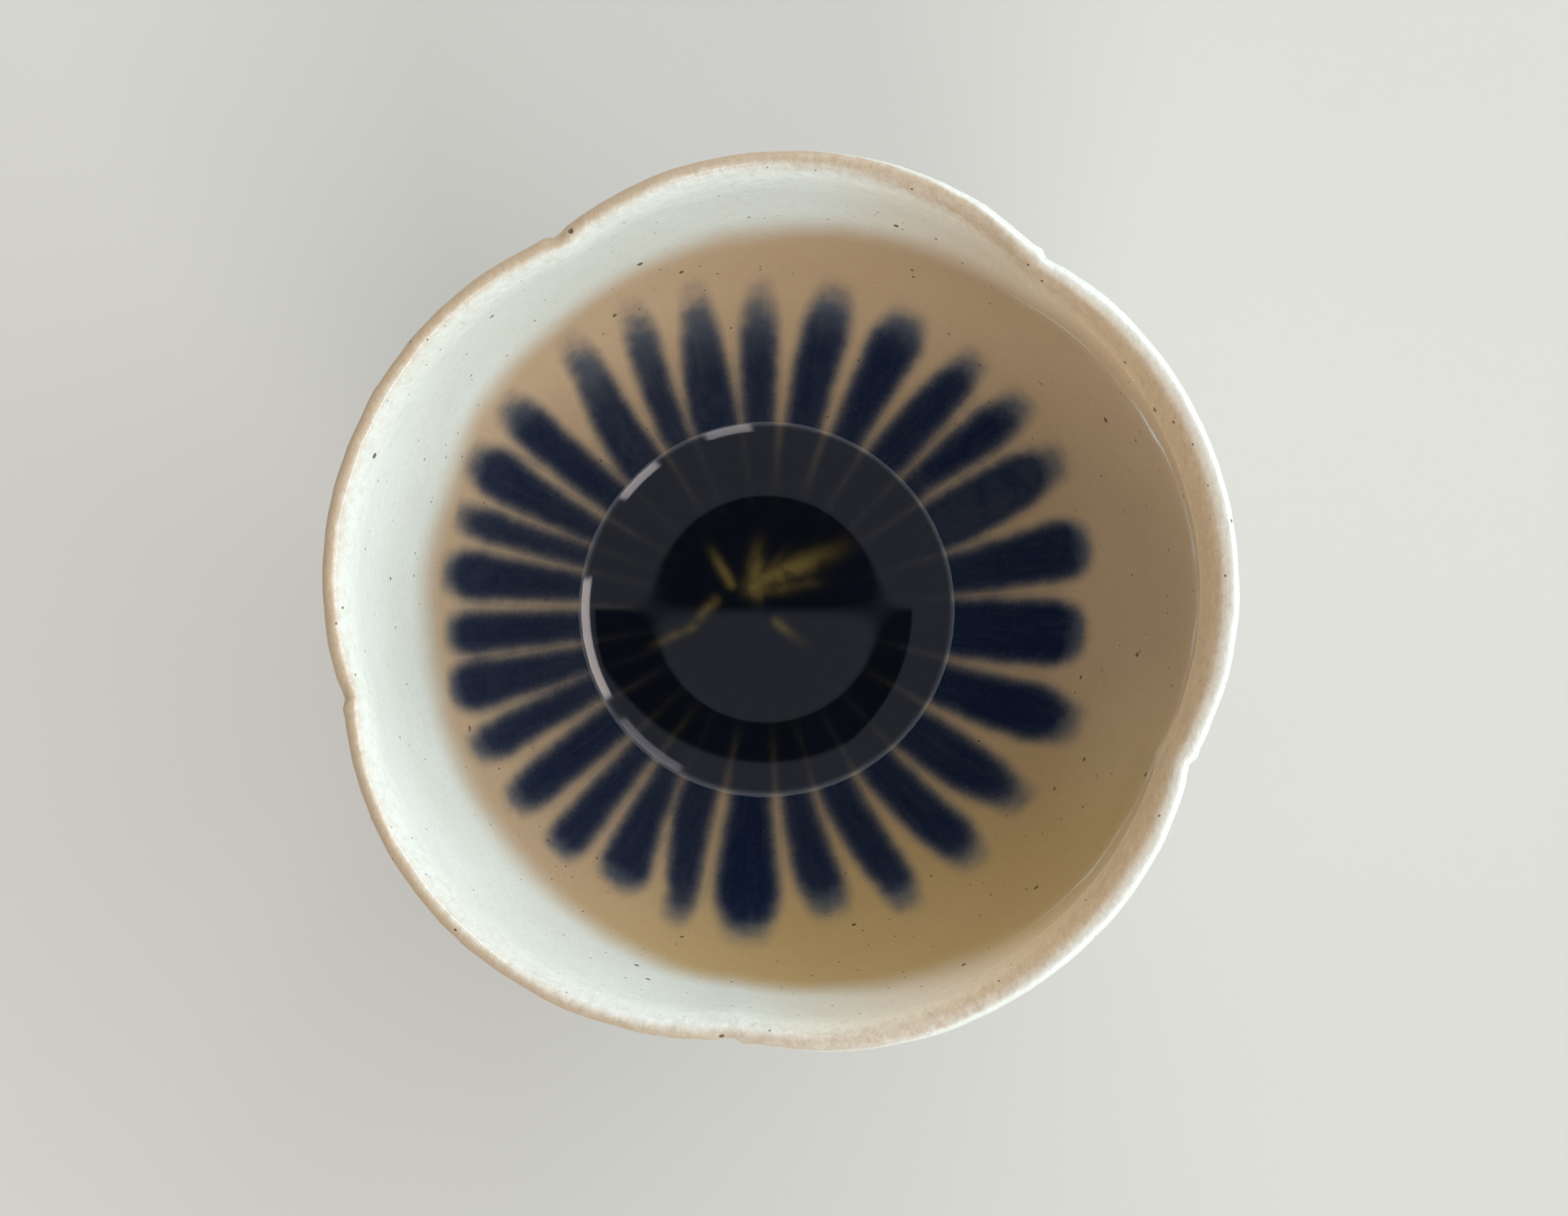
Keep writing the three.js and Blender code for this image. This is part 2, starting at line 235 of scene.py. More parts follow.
class TeacupColours(bpy.types.PropertyGroup):
    """Base colours of the finishes, among them lit and shaded copies of the glaze as painted light and shade."""

    dry_glaze: colour_property("Dry glaze", "Glaze above the wet line", (0.755, 0.80, 0.765))
    # Painted shade: the dry glaze as it looks in shade, on the east side away from the light.
    shaded_dry_glaze: colour_property("Buff glaze", "Glaze above the wet line where it lies thin", (0.73, 0.55, 0.36))
    # The wetted glaze, darkened by painted shade: partly the tea's wetting, partly the shade below the lit band.
    wet_and_shaded_glaze: colour_property("Wet glaze", "Glaze that the tea has wetted", (0.477, 0.338, 0.209))
    # Painted light: the wetted glaze where light falls on it.
    lit_wet_glaze: colour_property("Pale wet glaze", "Wetted glaze at its palest", (0.565, 0.422, 0.285))
    warm_tint: colour_property("Warm tint", "Tint of the wetted glaze at the front", (1.0, 1.0, 0.76))
    cloud_tint: colour_property("Cloud tint", "Tint of the slow clouds in the glaze", (0.72, 0.62, 0.46))
    fine_clouds: colour_property("Fine clouds", "Fine clouds in the glaze", (0.35, 0.27, 0.18))
    grain_tint: colour_property("Grain tint", "Tint of the finest grain in the glaze", (0.5, 0.46, 0.4))
    tea_shade: colour_property("Tea shade", "Tint of the glaze under the tea", (0.3, 0.3, 0.36))
    star: colour_property("Star", "Bare rays where the strokes meet", (0.18, 0.145, 0.065))
    # Tan of the thin glaze on the lip, also laid on as painted shade on the side away from the light.
    thin_glaze_and_shade: colour_property("Thin glaze", "Glaze drawn thin over the lip", (0.47, 0.345, 0.225))
    cobalt: colour_property("Cobalt", "Heart of a brush stroke", (0.006, 0.0125, 0.040))
    cobalt_haze: colour_property("Cobalt haze", "Pigment bled into the glaze", (0.062, 0.088, 0.125))
    iron: colour_property("Iron", "Iron specks burnt through the glaze", (0.055, 0.03, 0.016))
    clay: colour_property("Clay", "Bare stoneware", (0.45, 0.30, 0.175))
    flash: colour_property("Flash", "Clay reddened next to the glaze", (0.36, 0.17, 0.075))
    tea: colour_property("Tea", "Tint of the tea", (0.95, 0.91, 0.66))


class TeacupStage(bpy.types.PropertyGroup):
    """Light and floor."""

    floor: colour_property("Floor", "Pale floor", (0.62, 0.61, 0.59))
    key_power: power_property("Key", "Power of the low side light", 43.5)
    front_power: power_property("Front", "Power of the soft front light", 17.0)
    back_power: power_property("Back", "Power of the soft back light", 9.0)
    world_light: FloatProperty(name="Surroundings", description="Level of the surroundings", default=0.64, min=0.0)


class Wall:
    """The bowl's wall in section, measured along its inside surface from the middle of the floor to the lip."""

    def __init__(self, sizes):
        self.sizes = sizes
        half = sizes.lip_thickness / 2
        self.up = np.array((math.sin(sizes.lip_flare), math.cos(sizes.lip_flare)))
        self.out = np.array((math.cos(sizes.lip_flare), -math.sin(sizes.lip_flare)))
        lip_middle = np.array((sizes.rim_radius - half, sizes.height - half))
        lip_inside = lip_middle - self.out * half
        self.crest = lip_middle + self.out * (half - sizes.lip_outer_round) + self.up * half
        handles = (np.array((0.0, sizes.floor_height)), np.array((sizes.floor_reach, sizes.floor_height)),
                   lip_inside - self.up * sizes.wall_reach, lip_inside)
        share = np.linspace(0.0, 1.0, CURVE_SAMPLES)[:, None]
        rest = 1.0 - share
        weights = (rest ** 3, 3 * rest ** 2 * share, 3 * rest * share ** 2, share ** 3)
        self.points = sum(weight * handle for weight, handle in zip(weights, handles))
        tangents = np.gradient(self.points, axis=0)
        self.tangents = tangents / np.linalg.norm(tangents, axis=1)[:, None]
        steps = np.linalg.norm(np.diff(self.points, axis=0), axis=1)
        self.lengths = np.concatenate(((0.0,), np.cumsum(steps)))
        self.total = self.lengths[-1]
        self.inside_end = self.total + half - sizes.lip_inner_drop
        self.swell = sizes.lip_inner_round + sizes.lip_outer_round - sizes.lip_thickness

    def at(self, length, depth):
        """Radius and height at a length along the wall, a depth behind its inside surface."""
        radius = np.interp(length, self.lengths, self.points[:, 0])
        height = np.interp(length, self.lengths, self.points[:, 1])
        lean = np.interp(length, self.lengths, self.tangents[:, 0])
        rise = np.interp(length, self.lengths, self.tangents[:, 1])
        return radius + rise * depth, height - lean * depth

    def lip_swell(self, length):
        """How far the inside stands forward of the plain wall just below the lip."""
        share = np.clip((length - self.inside_end + LIP_SWELL_REACH) / LIP_SWELL_REACH, 0, 1)
        return self.swell * share ** 2 * (3 - 2 * share)

    def lip(self, turn, depth):
        """Radius and height over the lip: turn 0 inside, half pi on the crest, pi outside."""
        inner = turn < math.pi / 2
        wide = np.where(inner, self.sizes.lip_inner_round, self.sizes.lip_outer_round) - depth
        tall = np.where(inner, self.sizes.lip_inner_drop, self.sizes.lip_thickness / 2) - depth
        across = -np.cos(turn) * wide
        along = np.sin(turn) * tall - tall - depth
        return (self.crest[0] + across * self.out[0] + along * self.up[0],
                self.crest[1] + across * self.out[1] + along * self.up[1])

    def thickness(self, length):
        share = length / self.total
        return self.sizes.floor_thickness * (1 - share) + self.sizes.lip_thickness * share

    def length_where(self, depth_of, radius):
        """The length at which the surface at depth_of(length) has a radius."""
        lengths = np.linspace(0.0, self.total, CURVE_SAMPLES)
        radii, _ = self.at(lengths, depth_of(lengths))
        return float(np.interp(radius, radii, lengths))


def column_angles():
    """Angles of the mesh columns, in degrees, with one on every notch."""
    ends = NOTCH_ANGLES + (NOTCH_ANGLES[0] + 360,)
    petals = [np.linspace(start, end, PETAL_COLUMNS, endpoint=False) for start, end in zip(ends, ends[1:])]
    return np.concatenate(petals)


def petal_valley(angles):
    """How deep each angle lies in its notch: 1 on the notch, 0 in mid-petal."""
    ends = np.array(NOTCH_ANGLES + (NOTCH_ANGLES[0] + 360,), dtype=float)
    turned = NOTCH_ANGLES[0] + np.mod(angles - NOTCH_ANGLES[0], 360)
    index = np.clip(np.searchsorted(ends, turned, side="right") - 1, 0, len(NOTCH_ANGLES) - 1)
    share = (turned - ends[index]) / (ends[index + 1] - ends[index])
    return (2 * share - 1) ** 2


def bell(value, width):
    return np.exp(-(value / width) ** 2)


def hand_wobble(angles, heights, sizes):
    """The slow unevenness of a hand-thrown wall, in metres of radius."""
    turn = np.radians(angles)
    up = heights / sizes.height
    slow = sum(size * np.sin(count * turn + start + climb * up) for size, count, start, climb in WALL_WAVES)
    rim = sum(size * np.cos(count * turn + start) for size, count, start in RIM_WAVES)
    up = np.clip(up, 0, 1)
    return (slow * up ** 1.5 + rim * up ** 4) * MM


def press_petals(radii, angles, heights, sizes):
    """Places points of the turned shape with the notches pressed in: x, y and z arrays."""
    fade = np.clip(1 - (sizes.height - heights) / sizes.notch_reach, 0, 1) ** 2
    valley = petal_valley(angles)
    pressed = radii - sizes.notch_depth * valley * fade
    pressed = pressed + np.where(radii > 1 * MM, hand_wobble(angles, heights, sizes), 0.0)
    turn = np.radians(angles)
    return pressed * np.cos(turn), pressed * np.sin(turn), heights - sizes.notch_dip * valley ** 2 * fade


def throwing_lines(angles, lengths):
    """Shallow spiral ridges left by the fingers, in metres."""
    turn = np.radians(angles)
    spiral = np.sin(2 * math.pi * lengths / RIDGE_SPACING + turn)
    drift = np.sin(2 * math.pi * lengths / DRIFT_SPACING - turn + 0.7)
    fade = np.clip((lengths - RELIEF_START) / RELIEF_FADE, 0, 1)
    return (0.004 * spiral * (0.6 + 0.4 * drift) + 0.014 * drift) * MM * fade


def rows(start, end, count, angles):
    """Values from start to end down the rows of a mesh, the same in every column."""
    return np.linspace(start, end, count)[:, None] + 0 * angles


def stack(stretches):
    """Joins the stretches of a profile, each a pair of radii and heights."""
    return [np.concatenate(parts) for parts in zip(*stretches)]


def new_piece(name, vertices, faces):
    mesh = bpy.data.meshes.new(name)
    mesh.from_pydata(vertices.tolist(), [], faces)
    piece = bpy.data.objects.new(name, mesh)
    bpy.context.scene.collection.objects.link(piece)
    return piece


def closed_mesh(name, x, y, z, first_on_axis, last_on_axis):
    """A closed mesh from rows of points: rows run from axis to axis, columns go round."""
    points = np.stack((x, y, z), axis=-1).reshape(-1, 3)
    vertices = np.concatenate((points, (first_on_axis, last_on_axis)))
    grid = np.arange(x.size).reshape(x.shape)
    after = np.roll(grid, -1, axis=1)
    faces = np.stack((grid[:-1], after[:-1], after[1:], grid[1:]), axis=-1).reshape(-1, 4).tolist()
    first, last = x.size, x.size + 1
    for near, far, top_near, top_far in zip(*(row.tolist() for row in (grid[0], after[0], grid[-1], after[-1]))):
        faces += [(first, far, near), (last, top_near, top_far)]
    piece = new_piece(name, vertices, faces)
    piece.data.polygons.foreach_set("use_smooth", np.ones(len(faces), dtype=bool))
    piece.data.update()
    return piece


def set_values(piece, name, values, end_values):
    """Stores one number per vertex under a name that the materials read."""
    layer = piece.data.attributes.new(name, "FLOAT", "POINT")
    layer.data.foreach_set("value", np.concatenate((values.reshape(-1), end_values)).astype(np.float32))


def stroke_shape(stroke, lengths):
    """Angle and half width of a stroke, in degrees, along the wall."""
    base_angle, base_width, tip_angle, tip_width = stroke[:4]
    lean = np.clip((lengths - STROKE_BASE) / (STROKE_SHOULDER - STROKE_BASE), 0, 1)
    width = (base_width + (tip_width - base_width) * lean) * np.interp(lengths, STROKE_SPREAD[0], STROKE_SPREAD[1])
    return base_angle + (tip_angle - base_angle) * lean, width / 2


def ink_values(lengths, angles, radii):
    """For each point: depth inside the strokes' outlines (smooth, so that it stays true between mesh points),
    distance from the nearest tip in lengths of its fade, and the density of the nearest stroke."""
    total = np.zeros(lengths.shape)
    nearest = np.full(lengths.shape, FAR_FROM_INK)
    tip_way = np.zeros(lengths.shape)
    density = np.full(lengths.shape, COMMON_DENSITY)
    for stroke in STROKES:
        reach, tip, fade = (length * MM for length in stroke[4:7])
        centre, half = stroke_shape(stroke, lengths)
        off = np.abs(np.mod(angles - centre + 180, 360) - 180)
        half_width = np.radians(half) * np.maximum(radii, 1 * MM)
        past = np.maximum(lengths - reach + tip, 0) / tip
        taper = 1 - past ** 2
        point = 1 + np.clip((stroke[5] - BLUNT_TIP) / (POINTED_TIP - BLUNT_TIP), 0, 1)
        taper = np.where(past > 1, taper, np.maximum(taper, 0) ** point)
        depth = np.maximum(half_width * (taper - (off / half) ** 2) / 2, FAR_FROM_INK)
        total += np.exp(depth / INK_BLEND)
        nearer = depth > nearest
        nearest = np.where(nearer, depth, nearest)
        tip_way = np.where(nearer, (reach - lengths) / fade, tip_way)
        density = np.where(nearer, stroke[7], density)
    inside = np.maximum(INK_BLEND * np.log(total), (INK_HEART_RADIUS - radii) * INK_HEART_SLOPE)
    return inside, tip_way, density


def star_values(angles, radii):
    """How bare the glaze is in the rays about the middle, from 0 to 1."""
    turn = np.radians(angles)
    east, north = radii * np.cos(turn) / MM, radii * np.sin(turn) / MM
    bare = np.zeros(radii.shape)
    for start_east, start_north, angle, length, width, strength in STAR_RAYS:
        way = math.radians(angle)
        along = (east - start_east) * math.cos(way) + (north - start_north) * math.sin(way)
        across = (north - start_north) * math.cos(way) - (east - start_east) * math.sin(way)
        beyond = np.maximum(along - RAY_BODY * length, 0) / ((1 - RAY_BODY) * length)
        before = np.maximum(-along, 0) / width
        ray = np.exp(-(across / width) ** 2 - (1.5 * beyond) ** 2 - before ** 2)
        bare = np.maximum(bare, strength * ray)
    return bare


class NodeSheet:
    """Short calls for placing and linking shader nodes in one tree."""

    def __init__(self, tree):
        self.tree = tree

    def add(self, kind, settings=None, **inputs):
        node = self.tree.nodes.new(kind)
        for key, value in (settings or {}).items():
            setattr(node, key, value)
        self.fill(node, **inputs)
        return node

    def fill(self, node, **inputs):
        for key, value in inputs.items():
            self.feed(node.inputs[key.replace("_", " ")], value)

    def feed(self, socket, value):
        if isinstance(value, bpy.types.NodeSocket):
            self.tree.links.new(value, socket)
        elif hasattr(value, "__len__") and len(value) == 3 and socket.type == "RGBA":
            socket.default_value = (*value, 1.0)
        else:
            socket.default_value = value

    def math(self, operation, first, second=0.0, clamp=False):
        node = self.add("ShaderNodeMath", {"operation": operation, "use_clamp": clamp})
        self.feed(node.inputs[0], first)
        self.feed(node.inputs[1], second)
        return node.outputs[0]

    def times(self, first, second):
        return self.math("MULTIPLY", first, second)

    def plus(self, first, second):
        return self.math("ADD", first, second)

    def minus(self, first, second, clamp=False):
        return self.math("SUBTRACT", first, second, clamp)

    def about_zero(self, value, spread):
        """A value about one half, moved to lie about zero and scaled."""
        return self.times(self.minus(value, 0.5), spread)

    def ease(self, value, low, high, to_low=0.0, to_high=1.0):
        settings = {"interpolation_type": "SMOOTHSTEP"}
        node = self.add("ShaderNodeMapRange", settings, Value=value, From_Min=low, From_Max=high, To_Min=to_low,
                        To_Max=to_high)
        return node.outputs[0]

    def between(self, value, low, high, soft_low, soft_high):
        """1 between two limits, easing to 0 at each."""
        return self.times(self.ease(value, low, low + soft_low), self.ease(value, high - soft_high, high, 1.0, 0.0))

    def vector(self, operation, *values):
        node = self.add("ShaderNodeVectorMath", {"operation": operation})
        for socket, value in zip(node.inputs, values):
            self.feed(socket, value)
        return node.outputs["Vector"]

    def group(self, name, build, **inputs):
        """A shared node group, built on its first use."""
        tree = bpy.data.node_groups.get(name) or build()
        return self.add("ShaderNodeGroup", {"node_tree": tree}, **inputs)

    def mix(self, share, first, second, blend="MIX"):
        node = self.add("ShaderNodeMix", {"data_type": "RGBA", "blend_type": blend, "clamp_factor": True})
        self.feed(node.inputs["Factor"], share)
        self.feed(node.inputs[6], first)
        self.feed(node.inputs[7], second)
        return node.outputs[2]

    def place(self):
        return self.add("ShaderNodeTexCoord").outputs["Object"]

    def value(self, name):
        return self.add("ShaderNodeAttribute", {"attribute_name": name}).outputs["Fac"]

    def noise(self, vector, scale, detail=3.0, roughness=0.55):
        node = self.add("ShaderNodeTexNoise", Vector=vector, Scale=scale, Detail=detail, Roughness=roughness)
        return node.outputs["Fac"]

    def bump(self, height, strength, distance):
        return self.add("ShaderNodeBump", Height=height, Strength=strength, Distance=distance).outputs["Normal"]


def new_group(name, numbers, outputs):
    """An empty shader node group with a vector, numbers and their defaults going in and numbers coming out: returns
    the tree, its input node and its output node."""
    tree = bpy.data.node_groups.new(name, "ShaderNodeTree")
    tree.interface.new_socket("Vector", in_out="INPUT", socket_type="NodeSocketVector")
    for label, default in numbers.items():
        tree.interface.new_socket(label, in_out="INPUT", socket_type="NodeSocketFloat").default_value = default
    for label in outputs:
        tree.interface.new_socket(label, in_out="OUTPUT", socket_type="NodeSocketFloat")
    return tree, tree.nodes.new("NodeGroupInput"), tree.nodes.new("NodeGroupOutput")


def iron_speck_group():
    """Scattered specks of iron: a mask from two sizes of cells, each cell with a speck only now and then."""
    tree, start, end = new_group("Iron Specks", {"Spacing": 300.0, "Size": 0.12, "Share": 0.12}, ("Mask",))
    sheet = NodeSheet(tree)
    wander = sheet.add("ShaderNodeTexNoise", Vector=start.outputs["Vector"], Scale=900.0, Detail=2.0)
    masks = []
    for factor in (1.0, 2.3):
        spacing = sheet.times(start.outputs["Spacing"], factor)
        cells = sheet.add("ShaderNodeTexVoronoi", Vector=start.outputs["Vector"], Scale=spacing)
        rough = sheet.times(wander.outputs["Fac"], 0.16)
        distance = sheet.plus(cells.outputs["Distance"], sheet.minus(rough, 0.08))
        pick = sheet.add("ShaderNodeSeparateColor", Color=cells.outputs["Color"])
        chosen = sheet.math("LESS_THAN", pick.outputs["Red"], start.outputs["Share"])
        near = sheet.minus(start.outputs["Size"], distance)
        sized = sheet.times(near, sheet.plus(pick.outputs["Green"], 0.4))
        masks.append(sheet.times(sheet.ease(sized, 0.0, 0.025), chosen))
    sheet.fill(end, Mask=sheet.math("MAXIMUM", *masks))
    return tree


def mottle_group():
    """Soft cloudy variation of a fired surface: a slow and a fine value, both about one half."""
    tree, start, end = new_group("Fired Mottle", {"Slow Scale": 60.0, "Fine Scale": 900.0}, ("Slow", "Fine"))
    sheet = NodeSheet(tree)
    slow = sheet.noise(start.outputs["Vector"], start.outputs["Slow Scale"], 3.0)
    fine = sheet.noise(start.outputs["Vector"], start.outputs["Fine Scale"], 4.0, 0.6)
    sheet.fill(end, Slow=slow, Fine=fine)
    return tree


def new_material(name):
    """A material with only a Principled shader on its output: returns the material, the sheet and the shader."""
    material = bpy.data.materials.new(name)
    material.use_nodes = True
    material.node_tree.nodes.clear()
    sheet = NodeSheet(material.node_tree)
    shader = sheet.add("ShaderNodeBsdfPrincipled")
    output = sheet.add("ShaderNodeOutputMaterial")
    sheet.fill(output, Surface=shader.outputs["BSDF"])
    return material, sheet, shader


def mix_clear(material, sheet, shader, share, **tint):
    """Lets light pass straight through a material by a share."""
    clear = sheet.add("ShaderNodeBsdfTransparent", **tint)
    blend = sheet.add("ShaderNodeMixShader")
    for socket, value in zip(blend.inputs, (share, shader.outputs["BSDF"], clear.outputs["BSDF"])):
        sheet.feed(socket, value)
    output = next(node for node in material.node_tree.nodes if node.type == "OUTPUT_MATERIAL")
    sheet.fill(output, Surface=blend.outputs["Shader"])


def glaze_ground(sheet, colours, place, slow, fine, dry):
    """The glaze's colour: wet or dry and clouded, with painted light and shade in it. The dry glaze is white on the lit
    west side and a shaded buff copy to the east. The wetted glaze is beige, partly as painted shade, and paler where
    light falls. A painted highlight marks the line where the tea's film ends.
    """
    # Painted light and shade: the dry glaze is white on the west side, which faces the light, and the shaded buff copy
    # on the east.
    dry_colour = sheet.mix(sheet.value("whiteness"), colours.shaded_dry_glaze, colours.dry_glaze)
    # Painted light: the wetted glaze is paler on the lit west side and again at the far east of the inside.
    lit_wet_light = sheet.times(sheet.value("pale_wet"), 0.75)
    wet_and_shaded_colour = sheet.mix(lit_wet_light, colours.wet_and_shaded_glaze, colours.lit_wet_glaze)
    wet_and_shaded_colour = sheet.mix(sheet.value("warm_wet"), wet_and_shaded_colour, colours.warm_tint, "MULTIPLY")
    # Below the wet line the glaze is beige: partly wetted by the tea, partly painted shade below the lit band.
    colour = sheet.mix(dry, wet_and_shaded_colour, dry_colour)
    colour = sheet.mix(sheet.ease(slow, 0.3, 0.75, 0.0, 0.16), colour, colours.cloud_tint, "MULTIPLY")
    colour = sheet.mix(sheet.ease(fine, 0.45, 0.75, 0.0, 0.07), colour, colours.fine_clouds)
    waver = sheet.about_zero(sheet.noise(place, 110.0, 3.0), 3.0)
    # Painted highlight: a thin pale line along the edge of the tea's film, in the dry glaze colour.
    from_film = sheet.math("ABSOLUTE", sheet.plus(sheet.plus(sheet.value("above_wet"), waver), 0.8))
    film = sheet.times(sheet.ease(from_film, 0.08, 0.5, 1.0, 0.0), sheet.value("tide_line"))
    broken = sheet.ease(sheet.noise(place, 150.0, 3.0), 0.38, 0.62, 0.25, 1.0)
    return sheet.mix(sheet.times(film, broken), colour, colours.dry_glaze)


def brush_hairs(sheet, place):
    """Streaks that run along the strokes, out from the middle."""
    flat = sheet.vector("MULTIPLY", place, (1.0, 1.0, 0.0))
    lifted = sheet.vector("MULTIPLY", place, (0.12, 0.12, 0.12))
    round_way = sheet.vector("NORMALIZE", flat)
    brushed = sheet.vector("MULTIPLY_ADD", round_way, (30 * MM, 30 * MM, 0.0), lifted)
    return sheet.noise(brushed, 1300.0, 4.0, 0.6)


def ink_masks(sheet, hairs, bleed, grain, under_tea):
    """Where the pigment has bled into the glaze, and where it lies thick."""
    edge = sheet.plus(sheet.value("ink_depth"), sheet.plus(sheet.about_zero(bleed, 0.5), sheet.about_zero(grain, 0.4)))
    tip = sheet.plus(sheet.value("ink_tip"), sheet.about_zero(hairs, 0.2))
    tip = sheet.plus(tip, sheet.about_zero(bleed, 0.35))
    haze = sheet.times(sheet.ease(edge, -1.35, 0.85), sheet.ease(tip, -0.25, 0.35, 0.1, 0.92))
    heart = sheet.times(sheet.ease(edge, -0.6, 1.15), sheet.ease(tip, 0.05, 0.95))
    middle = sheet.times(sheet.ease(edge, 0.4, 1.2), sheet.ease(bleed, 0.3, 0.6, 0.4, 1.0))
    hollow = sheet.times(sheet.minus(1.0, sheet.value("ink_density")), middle)
    heart = sheet.times(heart, sheet.minus(1.0, hollow))
    heart = sheet.times(heart, sheet.ease(hairs, 0.2, 0.55, 0.9, 1.0))
    heart = sheet.times(heart, sheet.ease(grain, 0.3, 0.5, 0.9, 1.0))
    run_together = sheet.ease(sheet.value("tea_depth"), 0.0, 0.4, 0.55, 0.96)
    drowned = sheet.math("MAXIMUM", sheet.ease(edge, -1.8, 0.6), run_together)
    return haze, sheet.math("MAXIMUM", heart, sheet.times(under_tea, drowned))


def glaze_material(colours):
    """Cream glaze: white and satin where dry, beige and glossy where wet, with brushed cobalt, iron specks and a thin
    tan lip. Painted light and shade: white on the lit side and buff in shade, the wet beige and the lip's tan partly
    painted shade, and a painted highlight on the film's edge."""
    material, sheet, shader = new_material("Cream Glaze")
    place = sheet.place()
    mottle = sheet.group("Fired Mottle", mottle_group, Vector=place)
    slow, fine = mottle.outputs["Slow"], mottle.outputs["Fine"]
    bleed = sheet.noise(place, 380.0, 2.0, 0.5)
    grain = sheet.noise(place, 2600.0, 3.0, 0.65)
    under_tea = sheet.value("under_tea")
    lip_way = sheet.value("lip_way")

    dry = sheet.ease(sheet.plus(sheet.value("above_wet"), sheet.about_zero(slow, 6.0)), -3.6, 5.0)
    colour = glaze_ground(sheet, colours, place, slow, fine, dry)
    # Tan over the lip: thin glaze, and painted shade on the side away from the light.
    thin = sheet.ease(sheet.plus(sheet.value("thin_lip"), sheet.about_zero(fine, 0.5)), 0.1, 0.95, 0.0, 0.92)
    colour = sheet.mix(thin, colour, colours.thin_glaze_and_shade)
    haze, heart = ink_masks(sheet, brush_hairs(sheet, place), bleed, grain, under_tea)
    colour = sheet.mix(haze, colour, colours.cobalt_haze)
    colour = sheet.mix(heart, colour, colours.cobalt)
    colour = sheet.mix(sheet.times(under_tea, 0.85), colour, colours.tea_shade, "MULTIPLY")
    colour = sheet.mix(sheet.times(sheet.value("star"), sheet.ease(bleed, 0.3, 0.6, 0.45, 1.0)), colour, colours.star)
    colour = sheet.mix(sheet.ease(grain, 0.35, 0.65, 0.09, 0.0), colour, colours.grain_tint, "MULTIPLY")
    specks = sheet.group("Iron Specks", iron_speck_group, Vector=place, Spacing=270.0, Size=0.09, Share=0.5)
    bare = sheet.times(sheet.minus(0.85, heart, True), specks.outputs["Mask"])
    colour = sheet.mix(bare, colour, colours.iron)

    rough = sheet.plus(sheet.times(fine, 0.10), sheet.ease(dry, 0.0, 1.0, 0.26, 0.34))
    gloss = sheet.plus(sheet.times(dry, 0.64), 0.06)
    for share in (sheet.ease(thin, 0.0, 1.0, 1.0, 0.4), sheet.ease(lip_way, 1.2, 2.8, 1.0, 0.08),
                  sheet.minus(1.0, under_tea)):
        gloss = sheet.times(gloss, share)
    near_lip = sheet.ease(sheet.math("ABSOLUTE", sheet.minus(lip_way, 1.0)), 0.5, 2.5, 0.6, 0.0)
    peel = sheet.plus(sheet.ease(sheet.value("above_wet"), 0.0, 14.0, 0.0, 0.5), near_lip)
    peel = sheet.times(sheet.noise(place, 1100.0, 3.0, 0.55), peel)
    sheet.fill(shader, Base_Color=colour, Roughness=rough, IOR=1.5, Specular_IOR_Level=0.02, Coat_Weight=gloss,
               Coat_Roughness=0.06, Normal=sheet.bump(peel, 1.0, 0.22 * MM))
    return material


def clay_material(colours):
    """Bare buff stoneware: dry, gritty, with tool lines and darker grit."""
    material, sheet, shader = new_material("Bare Stoneware")
    place = sheet.place()
    mottle = sheet.group("Fired Mottle", mottle_group, Vector=place, Slow_Scale=90.0, Fine_Scale=1600.0)
    slow, fine = mottle.outputs["Slow"], mottle.outputs["Fine"]
    dark = tuple(channel * 0.55 for channel in colours.clay)
    pale = tuple(min(1.0, channel * 1.3) for channel in colours.clay)
    colour = sheet.mix(sheet.ease(slow, 0.3, 0.7), colours.clay, dark)
    colour = sheet.mix(sheet.ease(fine, 0.5, 0.72, 0.0, 0.6), colour, pale)
    height = sheet.add("ShaderNodeSeparateXYZ", Vector=place).outputs["Z"]
    flash = sheet.plus(height, sheet.times(slow, 3 * MM))
    colour = sheet.mix(sheet.ease(flash, 6.5 * MM, 9 * MM, 0.0, 0.7), colour, colours.flash)
    specks = sheet.group("Iron Specks", iron_speck_group, Vector=place, Spacing=420.0, Size=0.2, Share=0.3)
    colour = sheet.mix(sheet.times(specks.outputs["Mask"], 0.8), colour, colours.iron)
    grit = sheet.noise(place, 1100.0, 6.0, 0.7)
    sheet.fill(shader, Base_Color=colour, Roughness=sheet.ease(fine, 0.3, 0.7, 0.72, 0.92),
               Normal=sheet.bump(grit, 0.6, 0.25 * MM))
    return material


def tea_material(colours):
    """Clear green-yellow tea that lets the lamps through to the glaze under it."""
    material, sheet, shader = new_material("Green Tea")
    cloud = sheet.noise(sheet.place(), 130.0, 3.0)
    deep = tuple(channel * share for channel, share in zip(colours.tea, (0.9, 0.86, 0.72)))
    tint = sheet.mix(sheet.ease(cloud, 0.35, 0.65), colours.tea, deep)
    sheet.fill(shader, Base_Color=tint, Roughness=0.0, IOR=1.333, Transmission_Weight=1.0)
    mix_clear(material, sheet, shader, sheet.add("ShaderNodeLightPath").outputs["Is Shadow Ray"], Color=tint)
    return material


